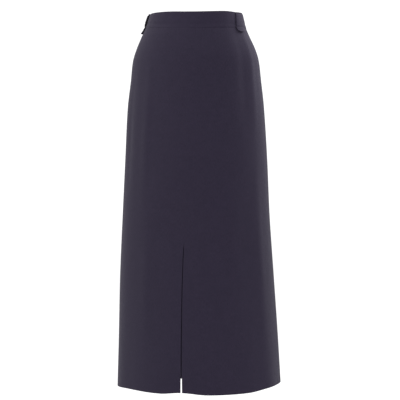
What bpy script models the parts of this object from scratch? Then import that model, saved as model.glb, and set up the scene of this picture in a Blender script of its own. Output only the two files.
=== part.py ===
"""Maxi skirt: A-line, with a contoured waistband, two belt loops, a front slit and a back zip.

Metres, +Z up, the front towards -Y and the wearer's left towards +X. The origin is the centre of
the waist, half way up the waistband, where the wearer holds the skirt. The skirt keeps its worn,
filled-out form: open at the waist and at the hem, and hollow between them.

A place on the cloth is given by its turn, the angle round the body from the centre front
(positive towards the wearer's left, 180 at the centre back), and by its height.
"""

import itertools
import math

import bmesh
import bpy
from mathutils import Vector

# Cloth
CLOTH = 0.002  # wall of the turned and faced worsted
SEAM_GAP = 0.0003  # between two pieces sewn together

# Waistband and hem
WAIST_TOP = 0.0195  # at the centre back
SEAM_AT_FRONT = -0.0241
SEAM_AT_SIDE = -0.0163
SEAM_AT_BACK = -0.0195
SEAM_TILT = 0.0030  # how much lower the waist seam sits at the wearer's left side than on average

# Centre-front slit
SLIT_TOP = -0.567
SLIT_GAP_TOP = 0.0015
SLIT_GAP_HEM = 0.0039
SLIT_GAP_POWER = 2.2  # over 1 opens the slit faster towards the hem
SLIT_LEAN = 2.6  # degrees that the slit's top leans towards the wearer's left

# Belt loops, each a strip with a free rounded end below the waist seam
LOOP_WIDTH = 0.030
LOOP_FLARE_POWER = 1.9
LOOP_END_SWING = math.radians(82.0)  # of the round end, from its straight sides to its blunt tip
LOOP_END_POWER = 0.8  # under 1 makes the end fuller than a half circle

# Concealed zip at the centre back
ZIP_GAP = 0.0016  # between the two turned edges that the zip joins
ZIP_BOTTOM = -0.195
TAPE_WIDTH = 0.011
TAPE_THICKNESS = 0.0008
TAPE_CLEAR = 0.0004
TAPE_BELOW_TOP = 0.0010
TAPE_PAST_ZIP = 0.0100
SLIDER_BELOW_TOP = 0.0070
SLIDER_WIDTH = 0.0050
SLIDER_HEIGHT = 0.0074
SLIDER_DEPTH = 0.0026
NECK_WIDTH = 0.0010
NECK_HEIGHT = 0.0030
RING_INNER = 0.00085
RING_OUTER = 0.00165
RING_OUT = 0.0018  # ring's centre, out from the face of the waistband
PULL_THICKNESS = 0.0009
PULL_WINDOW_WIDTH = 0.0017
PULL_WINDOW_LENGTH = 0.0021
PULL_LEAN = 3.0  # degrees from the waistband's slope towards the cloth, where the tab's end rests

# Mesh
FRONT_COLUMNS = 32
BACK_COLUMNS = 16
ROWS_TO_SLIT = 12
ROWS_TO_SLIT_POWER = 1.35  # over 1 brings the rows closer together over the hip
ROWS_ALONG_SLIT = 6
BAND_ROWS = 2
LOOP_COLUMNS = 8
LOOP_END_ROWS = 6
RING_SEGMENTS = 24
SHARP_ANGLE = math.radians(40.0)

# The cloth's outer face, a section at each height: half ellipses front and back that meet at the sides.
SECTIONS = (
    # height, half_width, front_depth, back_depth, sway towards the wearer's left
    (0.0220, 0.1201, 0.0855, 0.0845, 0.0020),
    (-0.0180, 0.1327, 0.0930, 0.0930, -0.0001),
    (-0.0400, 0.1419, 0.0985, 0.1010, -0.0009),
    (-0.0700, 0.1552, 0.1055, 0.1110, -0.0004),
    (-0.1000, 0.1645, 0.1110, 0.1190, -0.0002),
    (-0.1500, 0.1701, 0.1160, 0.1265, 0.0001),
    (-0.2200, 0.1781, 0.1210, 0.1320, -0.0002),
    (-0.3500, 0.1853, 0.1290, 0.1395, 0.0008),
    (-0.5000, 0.1920, 0.1375, 0.1465, 0.0006),
    (-0.6500, 0.2004, 0.1450, 0.1530, 0.0027),
    (-0.8000, 0.2071, 0.1520, 0.1590, 0.0065),
    (-0.9400, 0.2132, 0.1575, 0.1645, 0.0088),
)

# The waistband's top edge, all the way round: it dips a little at the front.
TOP_EDGE = (
    # turn, height above the centre back's
    (-180.0, 0.0000),
    (-120.0, 0.0010),
    (-70.0, 0.0019),
    (-40.0, 0.0017),
    (-20.0, 0.0007),
    (-3.0, -0.0009),
    (14.0, -0.0015),
    (30.0, -0.0008),
    (50.0, 0.0006),
    (64.0, -0.0001),
    (85.0, -0.0020),
    (120.0, -0.0014),
    (180.0, 0.0000),
)

# The hem, all the way round: it dips beside the slit and lifts over the wearer's left side.
HEM = (
    # turn, height
    (-180.0, -0.9300),
    (-130.0, -0.9320),
    (-90.0, -0.9328),
    (-50.0, -0.9318),
    (-15.0, -0.9373),
    (0.0, -0.9336),
    (18.0, -0.9384),
    (48.0, -0.9344),
    (68.0, -0.9248),
    (88.0, -0.9192),
    (115.0, -0.9175),
    (150.0, -0.9230),
    (180.0, -0.9300),
)

# Soft vertical folds that open towards the hem.
FOLD_POWER = 1.5
FOLDS = (
    # turn, half_angle, rise at the hem (negative is a hollow), height where it starts
    (-58.0, 18.0, 0.0030, -0.12),
    (34.0, 22.0, -0.0035, -0.30),
    (70.0, 15.0, 0.0030, -0.35),
    (118.0, 20.0, -0.0050, -0.40),
    (150.0, 18.0, 0.0040, -0.45),
    (-112.0, 20.0, -0.0045, -0.35),
    (-146.0, 18.0, 0.0040, -0.40),
)

# The belt loops. A loop's lean is how far its top end is turned on from its lower end.
LOOPS = (
    # name, turn at the seam, lean, gap under it, thickness, free length below the seam, flare of its end
    ("belt_loop_left", 72.1, 5.3, 0.0001, 0.0023, 0.0134, 0.0026),
    ("belt_loop_right", -84.5, -1.0, 0.0023, 0.0031, 0.0172, 0.0029),
)

# A belt loop's run, from the waistband's top edge to the waist seam.
LOOP_RUN = (
    # share of the run from top to seam, share of the full gap under the strip
    (0.00, 0.15),
    (0.08, 0.65),
    (0.20, 0.95),
    (0.40, 1.00),
    (0.62, 0.95),
    (0.80, 0.70),
    (0.92, 0.30),
    (1.06, 0.00),
)

# Half of the pull tab's outline, below its top bar.
PULL_OUTLINE = (
    # half_width, distance below the hinge
    (0.00250, 0.0045),
    (0.00155, 0.0070),
    (0.00170, 0.0140),
    (0.00163, 0.0168),
    (0.00094, 0.0180),
)

# The materials' colour, roughness and metallic value.
WORSTED_LOOK = ((0.029, 0.024, 0.043), 0.85, 0.0)
TAPE_LOOK = ((0.020, 0.018, 0.030), 0.80, 0.0)
METAL_LOOK = ((0.045, 0.040, 0.058), 0.35, 0.6)


def blend_rows(rows, at):
    """The columns of a table at one value of its first column, on a smooth curve through the rows."""
    rows = sorted(rows)
    at = min(max(at, rows[0][0]), rows[-1][0])
    low = max(i for i in range(len(rows) - 1) if rows[i][0] <= at)
    before, start, end, after = (rows[min(max(low + k, 0), len(rows) - 1)] for k in (-1, 0, 1, 2))
    span = end[0] - start[0]
    t = (at - start[0]) / span
    values = []
    for column in range(1, len(start)):
        slope_start = (end[column] - before[column]) / (end[0] - before[0]) * span
        slope_end = (after[column] - start[column]) / (after[0] - start[0]) * span
        values.append(
            start[column] * (2 * t**3 - 3 * t**2 + 1)
            + slope_start * (t**3 - 2 * t**2 + t)
            + end[column] * (3 * t**2 - 2 * t**3)
            + slope_end * (t**3 - t**2)
        )
    return values


def seam_height(turn):
    """The waist seam's height: lowest at the centre front, highest at the sides."""
    middle = SEAM_AT_FRONT if math.cos(turn) > 0 else SEAM_AT_BACK
    return SEAM_AT_SIDE + (middle - SEAM_AT_SIDE) * math.cos(turn) ** 2 - SEAM_TILT * math.sin(turn)


def top_height(turn):
    return WAIST_TOP + blend_rows(TOP_EDGE, math.degrees(turn))[0]


def hem_height(turn):
    return blend_rows(HEM, math.degrees(turn))[0]


def fold_rise(turn, height):
    """How far the folds lift the cloth off its section."""
    rise = 0.0
    for middle, half_angle, at_hem, start in FOLDS:
        away = (math.degrees(turn) - middle + 180.0) % 360.0 - 180.0
        down = min(max((start - height) / (start - HEM[0][1]), 0.0), 1.0)
        if abs(away) < half_angle:
            rise += at_hem * down**FOLD_POWER * math.cos(math.pi / 2 * away / half_angle) ** 2
    return rise


def slit_lean(turn, height):
    """The small turn of the front's middle that makes the slit lean."""
    down = min(max(height / SLIT_TOP, 0.0), 1.0)
    back_up = min(max((SLIT_TOP - height) / (SLIT_TOP - HEM[0][1]), 0.0), 1.0)
    return math.radians(SLIT_LEAN) * down * (1.0 - back_up) ** 2 * max(math.cos(turn), 0.0) ** 2


def on_section(turn, height):
    half_width, front_depth, back_depth, sway = blend_rows(SECTIONS, height)
    turned = turn + slit_lean(turn, height)
    depth = front_depth if math.cos(turned) > 0 else back_depth
    out = fold_rise(turn, height)
    return Vector(
        (
            sway + (half_width + out) * math.sin(turned),
            -(depth + out) * math.cos(turned),
            height,
        )
    )


def outward(turn, height):
    """The cloth's outward normal."""
    step_turn, step_height = 1e-3, 1e-4
    along = on_section(turn + step_turn, height) - on_section(turn - step_turn, height)
    up = on_section(turn, height + step_height) - on_section(turn, height - step_height)
    return along.cross(up).normalized()


def on_cloth(turn, height, out=0.0):
    """A point out from the cloth's outer face, or inside it where out is negative."""
    return on_section(turn, height) + out * outward(turn, height)


def turn_for(length, turn, height):
    """The turn that a length round the cloth takes up."""
    step = 1e-3
    pace = (on_section(turn + step, height) - on_section(turn, height)).length / step
    return length / pace


def centre_back_gap(height):
    """The gap at the centre back: the zip's down to its end, then a sewn seam's."""
    return ZIP_GAP if height > ZIP_BOTTOM else SEAM_GAP


def slit_gap(share):
    return SLIT_GAP_TOP + (SLIT_GAP_HEM - SLIT_GAP_TOP) * share**SLIT_GAP_POWER


def new_material(name, colour, roughness, metallic):
    material = bpy.data.materials.new(name)
    material.use_nodes = True
    shader = material.node_tree.nodes["Principled BSDF"]
    shader.inputs["Base Color"].default_value = (*colour, 1.0)
    shader.inputs["Roughness"].default_value = roughness
    shader.inputs["Metallic"].default_value = metallic
    return material


def add_object(name, points, faces, material):
    mesh = bpy.data.meshes.new(name)
    mesh.from_pydata([tuple(point) for point in points], [], faces)
    mesh.materials.append(material)
    mesh.shade_smooth()
    mesh.set_sharp_from_angle(angle=SHARP_ANGLE)
    piece = bpy.data.objects.new(name, mesh)
    bpy.context.scene.collection.objects.link(piece)
    return piece


def add_wall(name, outer, inner, faces, material):
    """A closed wall: the faces on its outer points, the same ones turned round inside, and a rim."""
    count = len(outer)
    edges = {(face[k], face[(k + 1) % len(face)]) for face in faces for k in range(len(face))}
    rim = [(b, a, a + count, b + count) for a, b in sorted(edges) if (b, a) not in edges]
    inside = [tuple(index + count for index in reversed(face)) for face in faces]
    return add_object(name, list(outer) + list(inner), list(faces) + inside + rim, material)


def grid_faces(columns, rows):
    """Faces of a grid whose points run along each row in turn, from the top row down."""
    across = columns + 1
    corners = (0, across, across + 1, 1)
    return [
        tuple(row * across + column + corner for corner in corners)
        for row in range(rows)
        for column in range(columns)
    ]


def add_cloth(name, places, faces, material):
    """A cloth piece through (turn, height) places."""
    outer = [on_cloth(turn, height) for turn, height in places]
    inner = [on_cloth(turn, height, -CLOTH) for turn, height in places]
    return add_wall(name, outer, inner, faces, material)


def panel_heights(turn):
    """Heights of a panel's rows at one turn: one row lies at the slit's top."""
    top = seam_height(turn) - SEAM_GAP / 2
    bottom = hem_height(turn)
    slit_share = (seam_height(0.0) - SLIT_TOP) / (seam_height(0.0) - hem_height(0.0))
    along_slit = (1.0 - slit_share) / ROWS_ALONG_SLIT
    above = [slit_share * (row / ROWS_TO_SLIT) ** ROWS_TO_SLIT_POWER for row in range(ROWS_TO_SLIT)]
    beside = [slit_share + along_slit * row for row in range(ROWS_ALONG_SLIT + 1)]
    return [top + (bottom - top) * share for share in above + beside]


def make_front(material):
    """The front panel: one piece, slit from the hem at its centre."""
    limit = math.pi / 2
    rows = ROWS_TO_SLIT + ROWS_ALONG_SLIT
    middle = FRONT_COLUMNS // 2
    turns = [limit * (2 * column / FRONT_COLUMNS - 1) for column in range(FRONT_COLUMNS + 1)]
    heights = [panel_heights(turn) for turn in turns]
    places = []
    for row in range(rows + 1):
        for column, turn in enumerate(turns):
            height = heights[column][row]
            if column in (0, FRONT_COLUMNS):
                turn -= math.copysign(turn_for(SEAM_GAP / 2, turn, height), turn)
            places.append((turn, height))
    faces = grid_faces(FRONT_COLUMNS, rows)

    # Below the slit's top the middle column is two: its own points go left, and added points go right.
    across = FRONT_COLUMNS + 1
    right_edge = {}
    for row in range(ROWS_TO_SLIT + 1, rows + 1):
        index = row * across + middle
        height = heights[middle][row]
        half = turn_for(slit_gap((row - ROWS_TO_SLIT) / ROWS_ALONG_SLIT) / 2, 0.0, height)
        places[index] = (-half, height)
        right_edge[index] = len(places)
        places.append((half, height))
    for number, face in enumerate(faces):
        row, column = divmod(number, FRONT_COLUMNS)
        if column >= middle and row >= ROWS_TO_SLIT:
            faces[number] = tuple(right_edge.get(index, index) for index in face)

    return add_cloth("skirt_front", places, faces, material)


def back_turns(height, side):
    """Turns across one half of the back at one height: side is 1 for the wearer's left, or -1."""
    at_side = math.pi / 2 + turn_for(SEAM_GAP / 2, math.pi / 2, height)
    at_centre = math.pi - turn_for(centre_back_gap(height) / 2, math.pi, height)
    pace = (at_centre - at_side) / BACK_COLUMNS
    turns = [at_side + pace * column for column in range(BACK_COLUMNS + 1)]
    return turns if side > 0 else [-turn for turn in reversed(turns)]


def make_back(name, side, material):
    rows = ROWS_TO_SLIT + ROWS_ALONG_SLIT
    grid_turns = [math.pi / 2 * (1 + column / BACK_COLUMNS) for column in range(BACK_COLUMNS + 1)]
    if side < 0:
        grid_turns = [-turn for turn in reversed(grid_turns)]
    heights = [panel_heights(turn) for turn in grid_turns]
    places = []
    for row in range(rows + 1):
        for column in range(BACK_COLUMNS + 1):
            height = heights[column][row]
            places.append((back_turns(height, side)[column], height))
    return add_cloth(name, places, grid_faces(BACK_COLUMNS, rows), material)


def band_places(turns_at, columns):
    """Places of a waistband piece, from its top edge down to the waist seam."""
    places = []
    for row in range(BAND_ROWS + 1):
        for column in range(columns + 1):
            turn = turns_at(WAIST_TOP)[column]
            bottom = seam_height(turn) + SEAM_GAP / 2
            top = top_height(turn)
            height = top + (bottom - top) * row / BAND_ROWS
            places.append((turns_at(height)[column], height))
    return places


def front_turns(height):
    limit = math.pi / 2 - turn_for(SEAM_GAP / 2, math.pi / 2, height)
    return [limit * (2 * column / FRONT_COLUMNS - 1) for column in range(FRONT_COLUMNS + 1)]


def make_waistband(material):
    front_places = band_places(front_turns, FRONT_COLUMNS)
    add_cloth("waistband_front", front_places, grid_faces(FRONT_COLUMNS, BAND_ROWS), material)
    for name, side in (("waistband_back_left", 1), ("waistband_back_right", -1)):
        places = band_places(lambda height: back_turns(height, side), BACK_COLUMNS)
        add_cloth(name, places, grid_faces(BACK_COLUMNS, BAND_ROWS), material)


def loop_rows(at_seam, lean, gap, free_length, flare):
    """(turn of the middle, height, gap under the strip, half of its width) down a belt loop."""
    seam = seam_height(at_seam)
    run = top_height(at_seam + lean) - SEAM_GAP - seam
    half = LOOP_WIDTH / 2
    rows = [(seam + run * (1.0 - down), gap * share, half) for down, share in LOOP_RUN]
    start = rows[-1][0]
    end = seam - free_length
    for row in range(1, LOOP_END_ROWS + 1):
        swing = LOOP_END_SWING * row / LOOP_END_ROWS
        share = math.sin(swing) / math.sin(LOOP_END_SWING)
        stands_off = flare * share**LOOP_FLARE_POWER
        rows.append((start + (end - start) * share, stands_off, half * math.cos(swing) ** LOOP_END_POWER))
    return [
        (at_seam + lean * (height - seam) / run, height, SEAM_GAP + stands_off, half)
        for height, stands_off, half in rows
    ]


def make_loop(name, turn_at_seam, lean, gap_under, thickness, free_length, flare, material):
    """A belt loop: a strip that stands off the waistband, is sewn at the seam and flares below it."""
    outer, inner = [], []
    rows = loop_rows(math.radians(turn_at_seam), math.radians(lean), gap_under, free_length, flare)
    for middle, height, gap, half in rows:
        for column in range(LOOP_COLUMNS + 1):
            along = half * (2 * column / LOOP_COLUMNS - 1)
            turn = middle + turn_for(along, middle, height)
            inner.append(on_cloth(turn, height, gap))
            outer.append(on_cloth(turn, height, gap + thickness))
    return add_wall(name, outer, inner, grid_faces(LOOP_COLUMNS, len(rows) - 1), material)


def zip_place():
    """The slider's place on the waistband's face, and the face's slope there."""
    height = WAIST_TOP - SLIDER_BELOW_TOP
    normal = outward(math.pi, height)
    return on_section(math.pi, height), math.atan2(normal.z, normal.y)


def back_row_heights():
    """Heights of the rows down the centre back, through the waistband and the panel below it."""
    seam = seam_height(math.pi)
    band = [WAIST_TOP + (seam - WAIST_TOP) * row / BAND_ROWS for row in range(BAND_ROWS)]
    return band + panel_heights(math.pi)


def on_back_rows(turn, height, out):
    """A point on the straight-sided back that the rows make, so that what lies on it follows it."""
    rows = back_row_heights()
    below = next(k for k in range(1, len(rows)) if rows[k] <= height)
    share = (rows[below - 1] - height) / (rows[below - 1] - rows[below])
    return on_cloth(turn, rows[below - 1], out).lerp(on_cloth(turn, rows[below], out), share)


def make_tape(name, side, material):
    """Half of the zip: a tape inside the back, whose coiled edge meets its twin below the slider."""
    top = WAIST_TOP - TAPE_BELOW_TOP
    bottom = ZIP_BOTTOM - TAPE_PAST_ZIP
    slider_bottom = WAIST_TOP - SLIDER_BELOW_TOP - SLIDER_HEIGHT / 2 - 2 * SEAM_GAP
    coil_top = slider_bottom - SEAM_GAP
    beside_slider = SLIDER_WIDTH / 2 + SEAM_GAP
    coil_heights = [height for height in back_row_heights() if bottom < height < coil_top]
    steps = [(top, beside_slider), (slider_bottom, beside_slider)]
    steps += [(height, SEAM_GAP / 2) for height in (coil_top, *coil_heights, bottom)]
    outer, inner = [], []
    for height, edge in steps:
        ends = [math.pi - turn_for(length, math.pi, height) for length in (TAPE_WIDTH, edge)]
        for turn in ends if side > 0 else [-turn for turn in reversed(ends)]:
            outer.append(on_back_rows(turn, height, -CLOTH - TAPE_CLEAR))
            inner.append(on_back_rows(turn, height, -CLOTH - TAPE_CLEAR - TAPE_THICKNESS))
    return add_wall(name, outer, inner, grid_faces(1, len(steps) - 1), material)


def add_box(name, low, high, material):
    points = list(itertools.product(*zip(low, high)))
    faces = [(0, 1, 3, 2), (4, 6, 7, 5), (0, 4, 5, 1), (2, 3, 7, 6), (0, 2, 6, 4), (1, 5, 7, 3)]
    return add_object(name, points, faces, material)


def add_cylinder_x(name, radius, width, centre_y, material):
    """A short cylinder along X, centred on the hinge's height."""
    mesh = bpy.data.meshes.new(name)
    shape = bmesh.new()
    bmesh.ops.create_cone(
        shape, cap_ends=True, segments=RING_SEGMENTS, radius1=radius, radius2=radius, depth=width
    )
    for vertex in shape.verts:
        x, y, z = vertex.co
        vertex.co = (z, x + centre_y, y)
    bmesh.ops.recalc_face_normals(shape, faces=shape.faces)
    shape.to_mesh(mesh)
    shape.free()
    mesh.materials.append(material)
    piece = bpy.data.objects.new(name, mesh)
    bpy.context.scene.collection.objects.link(piece)
    return piece


def combine(piece, other, operation):
    """Joins or cuts one object with another, which stays as a hidden helper."""
    other.hide_render = True
    other.display_type = "WIRE"
    modifier = piece.modifiers.new(operation.title() + " " + other.name, "BOOLEAN")
    modifier.operation = operation
    modifier.object = other
    modifier.solver = "EXACT"


def make_slider(holder, material):
    """The slider: a body behind the edges, a neck between them and a ring outside for the pull tab."""
    face = -RING_OUT  # the waistband's outer face, from the hinge
    body_front = face - CLOTH - SEAM_GAP
    half_height = SLIDER_HEIGHT / 2
    body = add_box(
        "zip_slider",
        (-SLIDER_WIDTH / 2, body_front - SLIDER_DEPTH, -half_height),
        (SLIDER_WIDTH / 2, body_front, half_height),
        material,
    )
    neck = add_box(
        "slider_neck",
        (-NECK_WIDTH / 2, body_front - SLIDER_DEPTH / 2, -NECK_HEIGHT / 2),
        (NECK_WIDTH / 2, -RING_INNER, NECK_HEIGHT / 2),
        material,
    )
    ring = add_cylinder_x("slider_ring", RING_OUTER, NECK_WIDTH, 0.0, material)
    hole = add_cylinder_x("slider_hole", RING_INNER, NECK_WIDTH * 3, 0.0, material)
    combine(body, neck, "UNION")
    combine(body, ring, "UNION")
    combine(body, hole, "DIFFERENCE")
    for piece in (body, neck, ring, hole):
        piece.parent = holder


def make_pull(holder, material):
    """The pull tab: a small plate whose top bar turns in the slider's ring."""
    half = PULL_THICKNESS / 2
    outline = [(PULL_OUTLINE[0][0], half)] + [(x, -down) for x, down in PULL_OUTLINE]
    outline += [(-x, z) for x, z in reversed(outline)]
    count = len(outline)
    points = [(x, -half, z) for x, z in outline] + [(x, half, z) for x, z in outline]
    front = tuple(reversed(range(count)))
    back = tuple(index + count for index in range(count))
    sides = [(k, (k + 1) % count, (k + 1) % count + count, k + count) for k in range(count)]
    plate = add_object("zip_pull", points, [front, back, *sides], material)
    window = add_box(
        "pull_window",
        (-PULL_WINDOW_WIDTH / 2, -PULL_THICKNESS, -half - PULL_WINDOW_LENGTH),
        (PULL_WINDOW_WIDTH / 2, PULL_THICKNESS, -half),
        material,
    )
    combine(plate, window, "DIFFERENCE")
    for piece in (plate, window):
        piece.parent = holder


def add_holder(name, place, slope):
    holder = bpy.data.objects.new(name, None)
    holder.location = place
    holder.rotation_euler = (slope, 0.0, 0.0)
    bpy.context.scene.collection.objects.link(holder)
    return holder


def make_zip(tape, metal):
    make_tape("zip_tape_left", 1, tape)
    make_tape("zip_tape_right", -1, tape)
    face, slope = zip_place()
    hinge = face + RING_OUT * Vector((0.0, math.cos(slope), math.sin(slope)))
    make_slider(add_holder("slider_place", hinge, slope), metal)
    make_pull(add_holder("pull_hinge", hinge, slope - math.radians(PULL_LEAN)), metal)


def main():
    for leftover in list(bpy.data.objects):
        bpy.data.objects.remove(leftover, do_unlink=True)
    worsted = new_material("worsted", *WORSTED_LOOK)
    tape = new_material("zip_tape", *TAPE_LOOK)
    metal = new_material("zip_metal", *METAL_LOOK)

    make_front(worsted)
    make_back("skirt_back_left", 1, worsted)
    make_back("skirt_back_right", -1, worsted)
    make_waistband(worsted)
    for loop in LOOPS:
        make_loop(*loop, worsted)
    make_zip(tape, metal)


main()
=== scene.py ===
"""Looks of the maxi skirt: worsted shells on the CAD solids, the zip, the stitches, studio light.

Metres, in the frame's own axes: +Z up, the front towards -Y and the wearer's left towards +X.
A place on the cloth is a turn round the body from the centre front (positive towards the
wearer's left) and a height. Depth is measured inwards from the cloth's outer face.
"""

import math
from functools import partial

import bmesh
import bpy
import numpy as np
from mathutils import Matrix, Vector


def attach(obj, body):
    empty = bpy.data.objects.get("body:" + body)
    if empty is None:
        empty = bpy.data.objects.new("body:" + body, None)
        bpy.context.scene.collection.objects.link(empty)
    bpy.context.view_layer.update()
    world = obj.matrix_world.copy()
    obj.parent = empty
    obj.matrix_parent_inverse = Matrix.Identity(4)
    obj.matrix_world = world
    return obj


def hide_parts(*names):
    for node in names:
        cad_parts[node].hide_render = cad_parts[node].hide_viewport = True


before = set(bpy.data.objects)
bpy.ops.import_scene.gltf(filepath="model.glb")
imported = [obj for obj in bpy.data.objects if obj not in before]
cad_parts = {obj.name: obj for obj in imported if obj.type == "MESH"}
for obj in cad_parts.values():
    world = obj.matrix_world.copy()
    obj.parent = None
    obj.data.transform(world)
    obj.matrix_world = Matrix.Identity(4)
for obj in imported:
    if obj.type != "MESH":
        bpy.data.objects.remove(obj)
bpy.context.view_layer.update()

SKIRT = "skirt"
PULL = "pull"
SIDES = ((1, "left"), (-1, "right"))  # as the wearer has them

# ---- sizes that follow the solids

WAIST_TOP = 0.0195
SEAM_AT_FRONT = -0.0241
SEAM_AT_SIDE = -0.0163
SEAM_AT_BACK = -0.0195
SEAM_TILT = 0.0030
SEAM_GAP = 0.0003
SEWN_GAP = -0.0001  # sewn edges press on each other
SLIT_TOP = -0.567
SLIT_GAP_TOP = 0.0015
SLIT_GAP_HEM = 0.0039
SLIT_GAP_POWER = 2.2
SLIT_START = 0.3  # share of its gap that the slit has at its very top
SLIT_EASE = 0.016  # length over which it opens to the full gap
SLIT_LEAN = 2.6
ZIP_GAP = 0.0016
ZIP_EDGES = 0.0005
ZIP_OPENS = (-0.0020, 0.0095)  # heights between which the edges part, up to the slider's neck
ZIP_CLOSES = (0.0148, 0.0185)  # and between which they meet again, at the top
ZIP_ENDS = (-0.201, -0.195)  # heights between which the seam opens into the zip
LOOP_WIDTH = 0.030
LOOP_FLARE_POWER = 1.9
LOOP_END_SWING = math.radians(82.0)
LOOP_END_POWER = 0.8

SECTIONS = (
    # height, half_width, front_depth, back_depth, sway towards the wearer's left
    (0.0220, 0.1201, 0.0855, 0.0845, 0.0020),
    (-0.0180, 0.1327, 0.0930, 0.0930, -0.0001),
    (-0.0400, 0.1419, 0.0985, 0.1010, -0.0009),
    (-0.0700, 0.1552, 0.1055, 0.1110, -0.0004),
    (-0.1000, 0.1645, 0.1110, 0.1190, -0.0002),
    (-0.1500, 0.1701, 0.1160, 0.1265, 0.0001),
    (-0.2200, 0.1781, 0.1210, 0.1320, -0.0002),
    (-0.3500, 0.1853, 0.1290, 0.1395, 0.0008),
    (-0.5000, 0.1920, 0.1375, 0.1465, 0.0006),
    (-0.6500, 0.2004, 0.1450, 0.1530, 0.0027),
    (-0.8000, 0.2071, 0.1520, 0.1590, 0.0065),
    (-0.9400, 0.2132, 0.1575, 0.1645, 0.0088),
)

TOP_EDGE = (
    # turn, height above the centre back's
    (-180.0, 0.0000),
    (-120.0, 0.0010),
    (-70.0, 0.0019),
    (-40.0, 0.0017),
    (-20.0, 0.0007),
    (-3.0, -0.0009),
    (14.0, -0.0015),
    (30.0, -0.0008),
    (50.0, 0.0006),
    (64.0, -0.0001),
    (85.0, -0.0020),
    (120.0, -0.0014),
    (180.0, 0.0000),
)

HEM = (
    # turn, height
    (-180.0, -0.9300),
    (-130.0, -0.9320),
    (-90.0, -0.9328),
    (-50.0, -0.9318),
    (-15.0, -0.9373),
    (0.0, -0.9336),
    (18.0, -0.9384),
    (48.0, -0.9344),
    (68.0, -0.9248),
    (88.0, -0.9192),
    (115.0, -0.9175),
    (150.0, -0.9230),
    (180.0, -0.9300),
)

# Large folds that open towards the hem.
FOLD_POWER = 1.5
FOLDS = (
    # turn, half_angle, rise at the hem, height where it starts
    (-58.0, 18.0, 0.0030, -0.12),
    (34.0, 22.0, -0.0035, -0.30),
    (70.0, 15.0, 0.0030, -0.35),
    (118.0, 20.0, -0.0050, -0.40),
    (150.0, 18.0, 0.0040, -0.45),
    (-112.0, 20.0, -0.0045, -0.35),
    (-146.0, 18.0, 0.0040, -0.40),
)

# The belt loops. A loop's lean is how far its top end is turned on from its lower end, and its
# flare is how far its tip stands off.
LOOPS = (
    # side, turn at the seam, lean, gap under it, thickness, free length below the seam, flare
    ("left", 72.1, 5.3, 0.0001, 0.0023, 0.0134, 0.0026),
    ("right", -84.5, -1.0, 0.0023, 0.0031, 0.0172, 0.0029),
)

LOOP_RUN = (
    # share of the run from top to seam, share of the full gap under the strip
    (0.00, 0.15),
    (0.08, 0.65),
    (0.20, 0.95),
    (0.40, 1.00),
    (0.62, 0.95),
    (0.80, 0.70),
    (0.92, 0.30),
    (1.06, 0.00),
)

# ---- the cloth itself

THICK = 0.0007  # one layer
PITCH = 0.0008  # from the middle of one layer to the middle of the next
EDGE_RADIUS = PITCH / 2
EASE = (0.0060, 0.0030, 0.0013)  # columns or rows that lead up to a turned edge
EASE_BESIDE = (0.0025, 0.0013)  # and those at the ends of the waistband
EDGE_SHARE = 0.055  # of a panel's width, left to the columns that lead up to its edge
ARC_STEPS = 6
ARC_START = THICK / 2 + EDGE_RADIUS
SEAM_ALLOWANCE = 0.014
CENTRE_ALLOWANCE = 0.016
HEM_DEPTH = 0.040
HEM_RADIUS = 0.195
FACING_RIGHT = 0.038
FACING_LEFT = 0.061
WORN_RADIUS = 0.165  # the body's middling radius, for creases given in metres

# Rows and columns of the cloth's grids.
BAND_COLUMNS = 90
ROWS_ABOVE = 112
ROWS_BELOW = 74
HEM_ROWS = 6
HALF_COLUMNS = 46
ALLOWANCE_COLUMNS = 3
FACING_COLUMNS = 6
SWING_SLACK = 0.01  # to compare swings
RIGHT_ANGLE = math.pi / 2 + SWING_SLACK

DART_TURN = 139.0
DART_DEGREE = 0.0021  # length of one degree of turn at the darts
DART_LENGTH = 0.115
DART_DEPTH = 0.0009
DART_HALF_WIDTH = 0.0007
DART_FADE = 0.6  # power by which the ditch gets shallower towards its point
DART_SWELL = 0.0008
DART_SWELL_WIDTH = 0.016
DART_SWELL_AT = 1.15  # in lengths of the dart, below its top
DART_SWELL_LENGTH = 0.25
DART_OVER_SEAM = 0.001  # how far above the waist seam's line the ditch still shows
DART_COLUMNS = (-0.0026, -0.0014, -0.0009, -0.0005, 0.0, 0.0005, 0.0009, 0.0014, 0.0026)
DART_CLEAR = 0.018  # share of the panel's width without other columns beside the dart

FACING_TOP = -0.590
PRESS_RISE = 0.00016
PRESS_HALF_WIDTH = 0.0022
PRESS_STARTS = (0.004, 0.010)  # distances from the slit between which a facing's top shows
PRESS_ENDS = (0.9 * FACING_LEFT, FACING_LEFT)
PRESSED_EDGES = ((FACING_LEFT, 0.7), (-FACING_RIGHT, 0.5))  # the facings' raw edges, and how they show
PRESSED_HEM = 0.5
FADE_IN = 0.03  # length over which such lines and the puckers come in

# Slight waves beside the upright seams, whose phase drifts and whose height swells on the way down.
PUCKERS = (
    # turn, reach to each side, height of the waves, wavelength
    (90.0, 0.012, 0.00016, 0.023),
    (-90.0, 0.012, 0.00016, 0.026),
    (180.0, 0.014, 0.00020, 0.021),
)
PUCKER_DRIFT = 0.8
PUCKER_DRIFT_PACE = 0.23
PUCKER_SWELL = 0.4
PUCKER_SWELL_PACE = 17.0

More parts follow.
